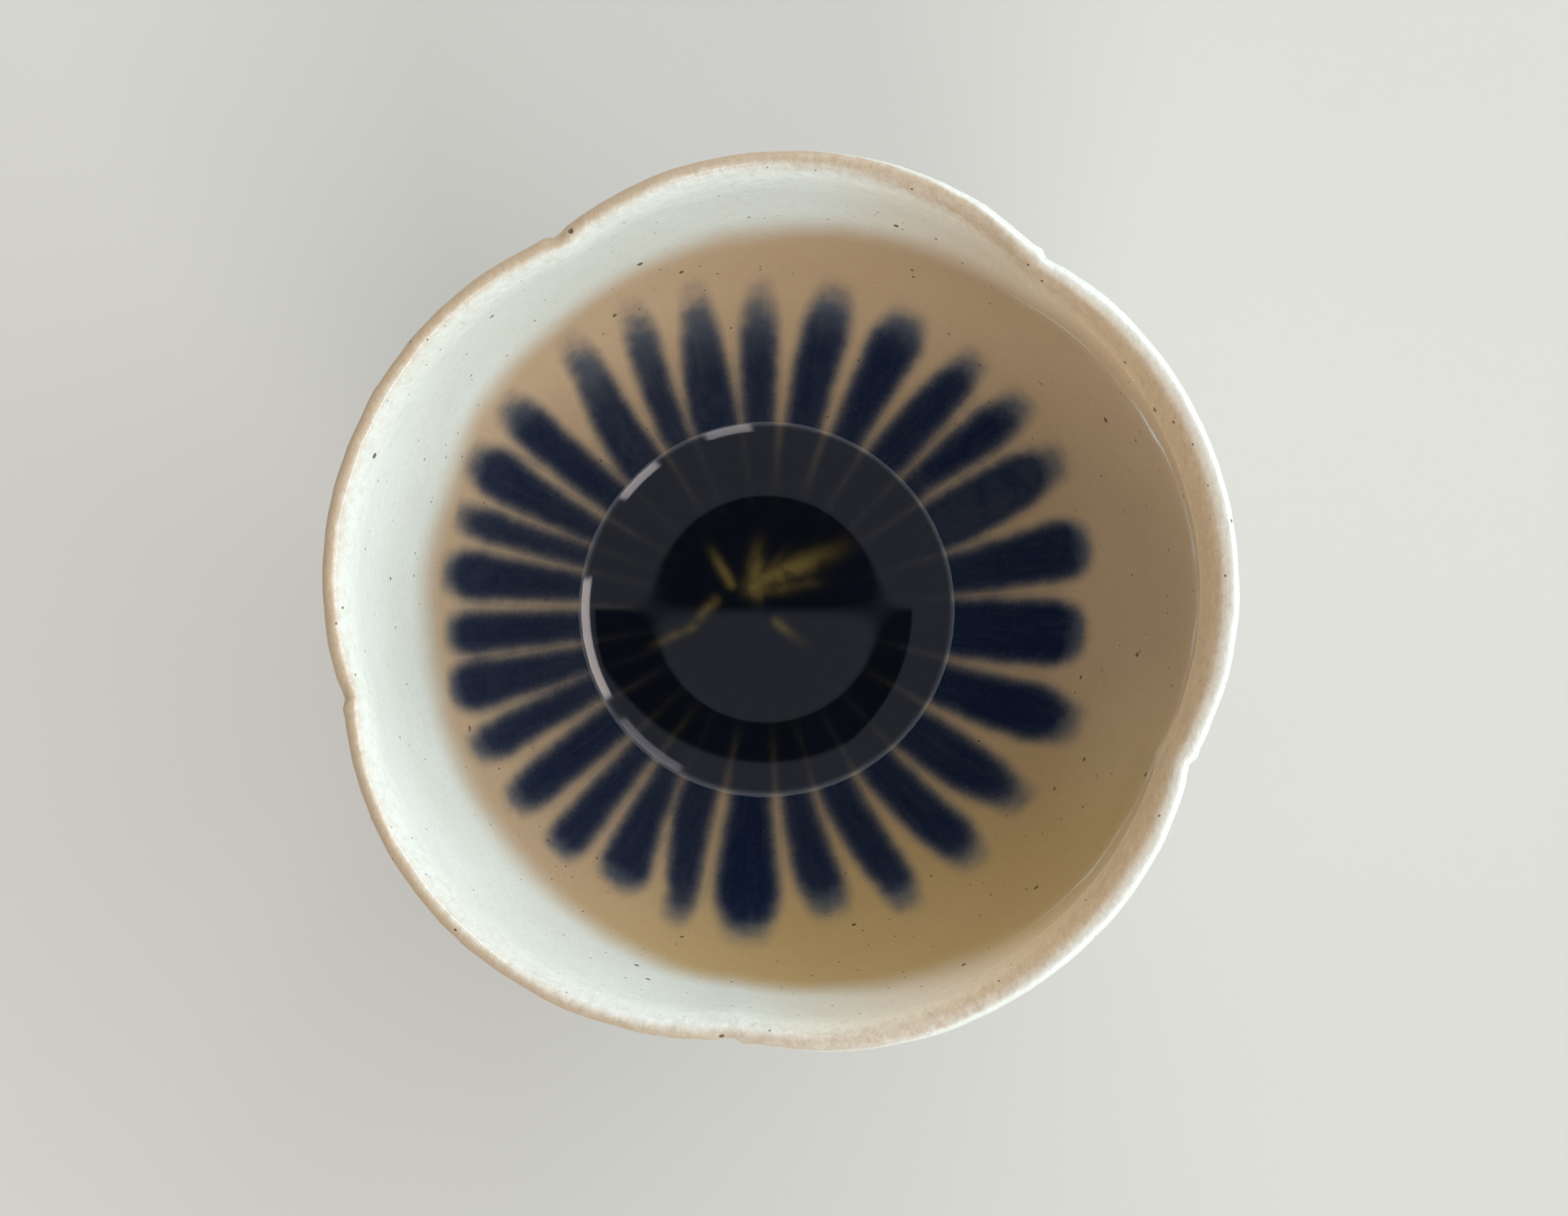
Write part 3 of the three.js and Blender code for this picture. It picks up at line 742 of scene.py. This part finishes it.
def floor_material(stage):
    """Plain pale floor, clear when seen from under it."""
    material, sheet, shader = new_material("Pale Floor")
    cloud = sheet.noise(sheet.place(), 6.0, 3.0)
    darker = tuple(channel * 0.97 for channel in stage.floor)
    colour = sheet.mix(sheet.ease(cloud, 0.3, 0.7), stage.floor, darker)
    sheet.fill(shader, Base_Color=colour, Roughness=0.7, Specular_IOR_Level=0.0)
    mix_clear(material, sheet, shader, sheet.add("ShaderNodeNewGeometry").outputs["Backfacing"])
    return material


def lip_grain(x, y, z, scale, amount):
    """Fine lumps of the glaze, one number per point, from noise that is the same on every run."""
    flat = zip(x.reshape(-1), y.reshape(-1), z.reshape(-1))
    values = [noise.noise(Vector(point) * scale) for point in flat]
    return np.array(values).reshape(x.shape) * amount


class TEACUP_OT_glaze(bpy.types.Operator):
    """Build the glaze, one skin from the floor over the lip to the glaze line, with the cobalt in it"""

    bl_idname = "teacup.glaze"
    bl_label = "Build Glaze"

    def execute(self, context):
        sizes = context.scene.teacup_sizes
        wall = Wall(sizes)
        angles = column_angles()[None, :]
        coat = sizes.glaze_coat
        inside = rows(0.004, 1.0, INSIDE_ROWS, angles) * wall.inside_end
        turns = rows(0, math.pi, LIP_ROWS + 2, angles)[1:-1]
        line = self.glaze_line(wall, angles)
        outside = wall.total + (line - wall.total) * rows(0.0, 1.0, OUTSIDE_ROWS, angles)
        back_outside = wall.total + (line - wall.total) * rows(0.0, 1.0, BACK_ROWS, angles)[::-1]
        back_inside = rows(1.0, 0.02, BACK_ROWS, angles) * wall.inside_end
        roll = 0.55 * coat * bell(outside - line, 1.3 * MM)
        ridges = 3.0 * throwing_lines(angles, outside)
        radii, heights = stack((
            wall.at(inside, -wall.lip_swell(inside) - throwing_lines(angles, inside)),
            wall.lip(turns, 0.0),
            wall.at(outside, wall.thickness(outside) + roll + ridges),
            wall.at(line, wall.thickness(line) + 0.3 * coat),
            wall.at(back_outside, wall.thickness(back_outside) - coat),
            wall.lip(turns[::-1], coat),
            wall.at(back_inside, coat - wall.lip_swell(back_inside)),
        ))
        first, last = len(inside), len(inside) + len(turns)
        skin_rows = last + len(outside)
        spread = angles + 0 * radii
        outer, thin, white_lip = np.zeros((3, *radii.shape))
        outer[first:last] = np.clip(turns / math.pi * 3 - 1, 0, 1)
        outer[last:] = 1
        thin[first:last], thin[last:skin_rows] = self.tan_and_shade_values(wall, angles, turns, outside, line)
        white_lip[first:last] = np.clip((turns - 0.8) / 0.8, 0, 1)
        white_lip[last:] = 0.85

        x, y, z = press_petals(radii, spread, heights, sizes)
        x, y, z = self.roughen_lip(x, y, z, spread, sizes, skin_rows, outer)
        floor = sizes.floor_height
        piece = closed_mesh("glaze", x, y, z, (0, 0, floor), (0, 0, floor - coat))
        steps = np.hypot(np.diff(radii[:, 0]), np.diff(heights[:, 0]))
        way = np.concatenate(((0.0,), np.cumsum(steps)))
        crest = int(np.argmax(heights[:last, 0]))
        set_values(piece, "lip_way", (way[crest] - way)[:, None] / MM + 0 * radii, (30.0, 30.0))
        self.store_values(piece, sizes, inside, spread, radii, x, y, z, thin, white_lip)
        piece.data.materials.append(glaze_material(context.scene.teacup_colours))
        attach(piece, "root")
        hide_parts("inner_glaze", "outer_glaze", *STROKE_NODES)
        return {"FINISHED"}

    @staticmethod
    def glaze_line(wall, angles):
        """Where the glaze ends on the outside, as a length along the wall: a wavy dipped edge."""
        sizes = wall.sizes
        turn = np.radians(angles)
        foot_top = wall.length_where(wall.thickness, sizes.foot_radius + sizes.foot_taper)
        wave = sum(size * np.sin(count * turn + start) for size, count, start in GLAZE_LINE_WAVES)
        return foot_top + 2.2 * sizes.glaze_line + wave * MM

    @staticmethod
    def tan_and_shade_values(wall, angles, turns, outside, line):
        """How tan the glaze is over the lip, and on the outside below the lip and along the glaze line: over and below
        the lip partly thin glaze and partly painted shade, strongest on the side away from the light; along the glaze
        line, thin glaze.
        """
        around = np.radians(angles)
        # Painted shade: the tan is stronger on the west, away from the light, over the thin glaze.
        strength = 0.75 + 0.35 * np.cos(around - 2.9)
        away_from_light = np.clip(0.85 - 1.2 * np.cos(around), 0, 1)
        from_tan = np.abs(turns - 0.7 - 1.45 * away_from_light) / (0.45 + 0.5 * away_from_light)
        # Painted shade on the lip's inner shoulder, on the side away from the light.
        shoulder = 0.24 * strength * away_from_light * np.clip(2.0 * np.sin(turns), 0, 1) * (turns < 2)
        over_lip = np.maximum(strength * np.clip(1.5 - from_tan, 0, 1), shoulder)
        # Painted shade on the outside just below the lip, away from the light; along the glaze line the tan is thin
        # glaze.
        below_lip = strength * away_from_light * bell(wall.total - outside, 1.6 * MM)
        return over_lip, np.maximum(below_lip, 0.75 * bell(outside - line, 1.0 * MM))

    @staticmethod
    def roughen_lip(x, y, z, angles, sizes, skin_rows, outer):
        """Lumps along the lip, and a burr and a nick on its outside at each notch."""
        near_lip = np.clip(1 - (sizes.height - z) / (9 * MM), 0, 1)
        near_lip[skin_rows:] = 0
        lumps = lip_grain(x, y, z, 900.0, 0.06 * MM) + lip_grain(x, y, z, 320.0, 0.12 * MM)
        push = lumps * near_lip
        for notch in NOTCH_ANGLES:
            off = np.mod(angles - notch + 180, 360) - 180
            burr = 0.36 * bell(off - 1.1, 0.9) - 0.38 * bell(off + 0.5, 1.1)
            push = push + burr * MM * outer * np.clip(1 - (sizes.height - z) / (4 * MM), 0, 1) * (near_lip > 0)
        radius = np.hypot(x, y)
        grow = 1 + push / np.maximum(radius, 1 * MM)
        return x * grow, y * grow, z

    @staticmethod
    def store_values(piece, sizes, inside, angles, radii, x, y, z, thin, white_lip):
        """Where the ink lies, how far each point is above the wet line, where the glaze is thin, and the painted light
        and shade: the lit side, the lit wetted glaze, the shaded lip and the highlight on the film's edge.
        """
        count = len(inside)
        east, north = x / MM, y / MM
        depth = np.full(radii.shape, FAR_FROM_INK)
        density = np.full(radii.shape, COMMON_DENSITY)
        tip, star, under = np.zeros((3, *radii.shape))
        depth[:count], tip[:count], density[:count] = ink_values(inside, angles[:count], radii[:count])
        star[:count] = star_values(angles[:count], radii[:count])
        under[:count] = np.clip((sizes.pool_radius - radii[:count]) / (0.4 * MM), 0, 1)
        wet_line = WET_LINE_HEIGHT + WET_LINE_SLOPE[0] * x + WET_LINE_SLOPE[1] * y
        wet_line += sum(size * bell(angles - angle, width) for size, angle, width in WET_LINE_SWELLS) * MM
        above = z - wet_line
        above[count:] = FAR_ABOVE_WET
        # Painted light: 1 on the west of the inside, which faces the light, easing to 0 on the shaded east; the lip's
        # outer half and the outside stay mostly on the white colour.
        white = np.clip((30 - east + 0.1 * north) / 30, 0, 1)
        white[count:] = np.maximum(white[count:], 0.95 * white_lip[count:])
        streak = bell(np.mod(angles + 180, 360) - 204, 5.0)
        # Painted highlight along the edge of the tea's film, on the east wall only.
        film_highlight = np.clip((east - 20) / 12, 0, 1) * (0.4 + 0.6 * streak)
        film_highlight[count:] = 0
        layers = {
            "ink_depth": depth / MM,
            "ink_tip": tip,
            "ink_density": density,
            "above_wet": above / MM,
            "thin_lip": thin,
            "under_tea": under,
            "tide_line": film_highlight,
            "whiteness": white,
            "star": star,
            "tea_depth": np.clip(1 - radii / sizes.pool_radius, 0, 1),
            # Painted light on the wetted glaze: strongest to the west, and again at the far east.
            "pale_wet": np.clip((14 - east + 0.25 * north) / 40, 0, 1) + 0.75 * np.clip((east - 30) / 7, 0, 1),
            "warm_wet": np.clip((0.34 * east - 0.94 * north - 18) / 16, 0, 1),
        }
        for name, values in layers.items():
            set_values(piece, name, values, (values[0, 0], values[-1, 0]))


class TEACUP_OT_clay(bpy.types.Operator):
    """Build the clay: the bowl under the glaze, the trimmed foot ring and the hollow inside it"""

    bl_idname = "teacup.clay"
    bl_label = "Build Clay"

    def execute(self, context):
        sizes = context.scene.teacup_sizes
        wall = Wall(sizes)
        angles = column_angles()[None, ::2]
        under = 1.1 * sizes.glaze_coat
        inside = rows(0.02, 1.0, CLAY_INSIDE_ROWS, angles) * wall.inside_end
        turns = rows(0, math.pi, CLAY_LIP_ROWS + 2, angles)[1:-1]
        foot_top_radius = sizes.foot_radius + sizes.foot_taper
        skin = lambda length: wall.thickness(length) - under
        foot_top = wall.length_where(skin, foot_top_radius + 1.2 * MM)
        outside = rows(wall.total, foot_top, CLAY_OUTSIDE_ROWS, angles)
        foot = [values[:, None] + 0 * angles for values in self.foot_profile(wall, sizes, skin, foot_top)]
        radii, heights = stack((wall.at(inside, under - wall.lip_swell(inside)), wall.lip(turns, under),
                                wall.at(outside, skin(outside)), foot))
        x, y, z = press_petals(radii, angles + 0 * radii, heights, sizes)
        hollow = sizes.floor_height - sizes.floor_thickness
        piece = closed_mesh("clay_body", x, y, z, (0, 0, sizes.floor_height - under), (0, 0, hollow - 0.5 * MM))
        piece.data.materials.append(clay_material(context.scene.teacup_colours))
        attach(piece, "root")
        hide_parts("stoneware_body")
        return {"FINISHED"}

    @staticmethod
    def foot_profile(wall, sizes, skin, foot_top):
        """Radius and height down the foot ring, round its edges and across the trimmed hollow."""
        edge, cove_size, hollow_edge = 0.7 * MM, 1.2 * MM, 1.4 * MM
        top_radius, top_height = (float(value) for value in wall.at(foot_top, skin(foot_top)))
        outer = sizes.foot_radius
        inner = outer - sizes.foot_width
        hollow = sizes.floor_height - sizes.floor_thickness
        turn = np.linspace(0, math.pi / 2, 6)
        side = np.linspace(0.12, 1.0, 14)
        cove = np.linspace(0, math.pi / 2, 7)[1:]
        cove_heights = top_height - cove_size * (1 - np.cos(cove)) * 1.4
        side_top = cove_heights[-1]
        ring = (inner - hollow_edge) * (1 - np.linspace(0.0, 0.97, 40)[1:])
        tool_lines = 0.06 * MM * np.sin(ring / MM * 3.6)
        return stack((
            (top_radius - cove_size * np.sin(cove), cove_heights),
            (outer + sizes.foot_taper * (1 - side) + 0.05 * MM * np.sin(side * 40),
             side_top + (edge - side_top) * side),
            (outer - edge * (1 - np.cos(turn)), edge * (1 - np.sin(turn))),
            (inner + edge * (1 - np.sin(turn)), edge * (1 - np.cos(turn))),
            (inner - hollow_edge * (1 - np.cos(turn)), hollow - hollow_edge * (1 - np.sin(turn))),
            (ring, hollow + tool_lines - 0.5 * MM * bell(ring, 2.5 * MM)),
        ))


class TEACUP_OT_tea(bpy.types.Operator):
    """Build the last mouthful of tea, with its surface curled up where it meets the glaze"""

    bl_idname = "teacup.tea"
    bl_label = "Build Tea"

    def execute(self, context):
        sizes = context.scene.teacup_sizes
        wall = Wall(sizes)
        angles = column_angles()[None, :]
        edge_length = wall.length_where(lambda length: 0 * length, sizes.pool_radius)
        _, edge_height = wall.at(edge_length, 0.0)
        slope = math.atan2(np.interp(edge_length, wall.lengths, wall.tangents[:, 1]),
                           np.interp(edge_length, wall.lengths, wall.tangents[:, 0]))
        rise = sizes.capillary_length * math.tan(slope - sizes.contact_angle)
        inset = np.linspace(1.0, 0.0, TEA_ROWS)[:-1] ** 2 * sizes.pool_radius
        inset = np.concatenate((inset[1:], (0.0, -TEA_OVERLAP)))
        surface = (sizes.pool_radius - inset, edge_height - rise + rise * np.exp(-inset / sizes.capillary_length))
        bed = wall.at(np.linspace(edge_length, 0.05 * edge_length, TEA_BED_ROWS), TEA_SINK)
        radii, levels = (values[:, None] + 0 * angles for values in stack((surface, bed)))
        x, y, z = press_petals(radii, angles + 0 * radii, levels, sizes)
        piece = closed_mesh("tea_pool", x, y, z, (0, 0, float(edge_height - rise)),
                            (0, 0, sizes.floor_height - TEA_SINK))
        piece.data.materials.append(tea_material(context.scene.teacup_colours))
        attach(piece, "root")
        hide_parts("tea")
        return {"FINISHED"}


class TEACUP_OT_stage(bpy.types.Operator):
    """Set the pale floor, the soft light and the camera over the cup"""

    bl_idname = "teacup.stage"
    bl_label = "Set Stage"

    def execute(self, context):
        scene = context.scene
        stage = scene.teacup_stage
        scene.view_settings.view_transform = "Standard"
        self.add_floor(scene, stage)
        for name, place, target, size, power, colour in LAMPS:
            self.add_lamp(scene, name, place, target, size, getattr(stage, power), colour)
        self.set_world(scene, stage)
        self.add_camera(scene)
        return {"FINISHED"}

    @staticmethod
    def add_floor(scene, stage):
        """A wide floor, open under the hollow foot so that light reaches it from below."""
        turn = np.linspace(0, 2 * math.pi, FLOOR_COLUMNS, endpoint=False)
        ring = np.stack((np.cos(turn), np.sin(turn), 0 * turn), axis=-1)
        open_radius = scene.teacup_sizes.foot_radius - 1 * MM
        vertices = np.concatenate((ring * open_radius, ring * FLOOR_RADIUS))
        faces = [(column, FLOOR_COLUMNS + column, FLOOR_COLUMNS + (column + 1) % FLOOR_COLUMNS,
                  (column + 1) % FLOOR_COLUMNS) for column in range(FLOOR_COLUMNS)]
        floor = new_piece("floor", vertices, faces)
        floor.location = (0, 0, -0.02 * MM)
        floor.data.materials.append(floor_material(stage))

    @staticmethod
    def add_lamp(scene, name, place, target, size, power, colour):
        lamp = bpy.data.lights.new(name, "AREA")
        lamp.shape = "RECTANGLE"
        lamp.size, lamp.size_y = size
        lamp.energy = power
        lamp.color = colour
        holder = bpy.data.objects.new(name, lamp)
        holder.location = place
        holder.rotation_euler = (Vector(target) - Vector(place)).to_track_quat("-Z", "Y").to_euler()
        holder.visible_transmission = False
        holder.visible_glossy = False
        scene.collection.objects.link(holder)

    def set_world(self, scene, stage):
        """Pale surroundings with a dark panel overhead. The extra brightness of the low sky, the panes and the window
        is there only for mirror images."""
        world = bpy.data.worlds.new("Studio")
        world.use_nodes = True
        world.node_tree.nodes.clear()
        sheet = NodeSheet(world.node_tree)
        way = sheet.add("ShaderNodeSeparateXYZ", Vector=sheet.add("ShaderNodeTexCoord").outputs["Generated"])
        up = way.outputs["Z"]
        turn = sheet.math("DEGREES", sheet.math("ARCTAN2", way.outputs["Y"], way.outputs["X"]))
        dark = sheet.math("GREATER_THAN", up, 0.0)
        for axis, (low, high, soft) in zip("XY", DARK_PANEL):
            lean = sheet.math("DIVIDE", way.outputs[axis], up)
            dark = sheet.times(dark, sheet.between(lean, low, high, soft, DARK_PANEL_FADE))
        panes = 0.0
        for low, high, strength in PANES:
            pane = sheet.between(turn, low, high, PANES_SOFTNESS, PANES_SOFTNESS)
            panes = sheet.plus(sheet.times(pane, strength), panes)
        panes = sheet.times(panes, sheet.between(up, *PANES_UP))
        window = sheet.times(sheet.between(turn, *WINDOW_ROUND), sheet.between(up, *WINDOW_UP))

        path = sheet.add("ShaderNodeLightPath")
        mirrored = sheet.minus(path.outputs["Is Glossy Ray"], path.outputs["Is Transmission Ray"], True)
        sky = sheet.mix(mirrored, SKY_COLOUR, MIRRORED_SKY_COLOUR)
        colour = sheet.mix(dark, sky, DARK_PANEL_COLOUR)
        colour = sheet.mix(panes, colour, PANES_COLOUR)
        direct = sheet.math("LESS_THAN", path.outputs["Diffuse Depth"], 0.5)
        mirrored = sheet.times(mirrored, direct)
        seen = sheet.math("MAXIMUM", path.outputs["Is Camera Ray"], mirrored)
        seen = sheet.math("MAXIMUM", seen, path.outputs["Is Transmission Ray"])
        level = sheet.ease(seen, 0.0, 1.0, stage.world_light, SEEN_LEVEL)
        bright = sheet.ease(up, *LOW_SKY_UP, LOW_SKY_BRIGHTNESS, 0.0)
        bright = sheet.plus(bright, sheet.times(panes, PANES_BRIGHTNESS))
        bright = sheet.plus(bright, sheet.times(window, WINDOW_BRIGHTNESS))
        level = sheet.plus(level, sheet.times(mirrored, bright))
        background = sheet.add("ShaderNodeBackground", Color=colour, Strength=level)
        sheet.add("ShaderNodeOutputWorld", Surface=background.outputs["Background"])
        scene.world = world

    @staticmethod
    def add_camera(scene):
        sizes = scene.teacup_sizes
        lens_pixels = CAMERA_ABOVE_RIM / MM / PHOTO_MM_PER_PIXEL
        camera = bpy.data.cameras.new("photo_camera")
        camera.sensor_fit = "HORIZONTAL"
        camera.sensor_width = SENSOR_WIDTH
        camera.lens = lens_pixels / PHOTO_WIDTH * SENSOR_WIDTH
        camera.clip_start = 0.01
        holder = bpy.data.objects.new("photo_camera", camera)
        place = Vector((CAMERA_EAST, CAMERA_NORTH, sizes.height + CAMERA_ABOVE_RIM))
        aim_right = (PHOTO_WIDTH / 2 - PHOTO_RIM_CENTRE[0]) * PHOTO_MM_PER_PIXEL * MM
        aim_down = (PHOTO_HEIGHT / 2 - PHOTO_RIM_CENTRE[1]) * PHOTO_MM_PER_PIXEL * MM
        back = (place - Vector((aim_right, -aim_down, sizes.height))).normalized()
        right = Vector((0, 1, 0)).cross(back).normalized()
        turn = Matrix((right, back.cross(right), back)).transposed()
        holder.matrix_world = Matrix.Translation(place) @ turn.to_4x4()
        scene.collection.objects.link(holder)
        scene.camera = holder


class TEACUP_PT_sidebar(bpy.types.Panel):
    """Lists the teacup's steps and settings"""

    bl_idname = "TEACUP_PT_sidebar"
    bl_label = "Kumidashi Teacup"
    bl_space_type = "VIEW_3D"
    bl_region_type = "UI"
    bl_category = "Teacup"

    def draw(self, context):
        for operator in OPERATORS:
            self.layout.operator(operator.bl_idname)
        for setting in SETTINGS:
            group = getattr(context.scene, setting)
            box = self.layout.box()
            for name in group.__annotations__:
                box.prop(group, name)


OPERATORS = (TEACUP_OT_stage, TEACUP_OT_clay, TEACUP_OT_glaze, TEACUP_OT_tea)
SETTINGS = {"teacup_sizes": TeacupSizes, "teacup_colours": TeacupColours, "teacup_stage": TeacupStage}
CLASSES = (*SETTINGS.values(), *OPERATORS, TEACUP_PT_sidebar)


def register():
    for cls in CLASSES:
        bpy.utils.register_class(cls)
    for setting, group in SETTINGS.items():
        setattr(bpy.types.Scene, setting, PointerProperty(type=group))


def unregister():
    for setting in SETTINGS:
        delattr(bpy.types.Scene, setting)
    for cls in reversed(CLASSES):
        bpy.utils.unregister_class(cls)


def main():
    register()
    bpy.ops.teacup.stage()
    bpy.ops.teacup.clay()
    bpy.ops.teacup.glaze()
    bpy.ops.teacup.tea()


if __name__ == "__main__":
    main()
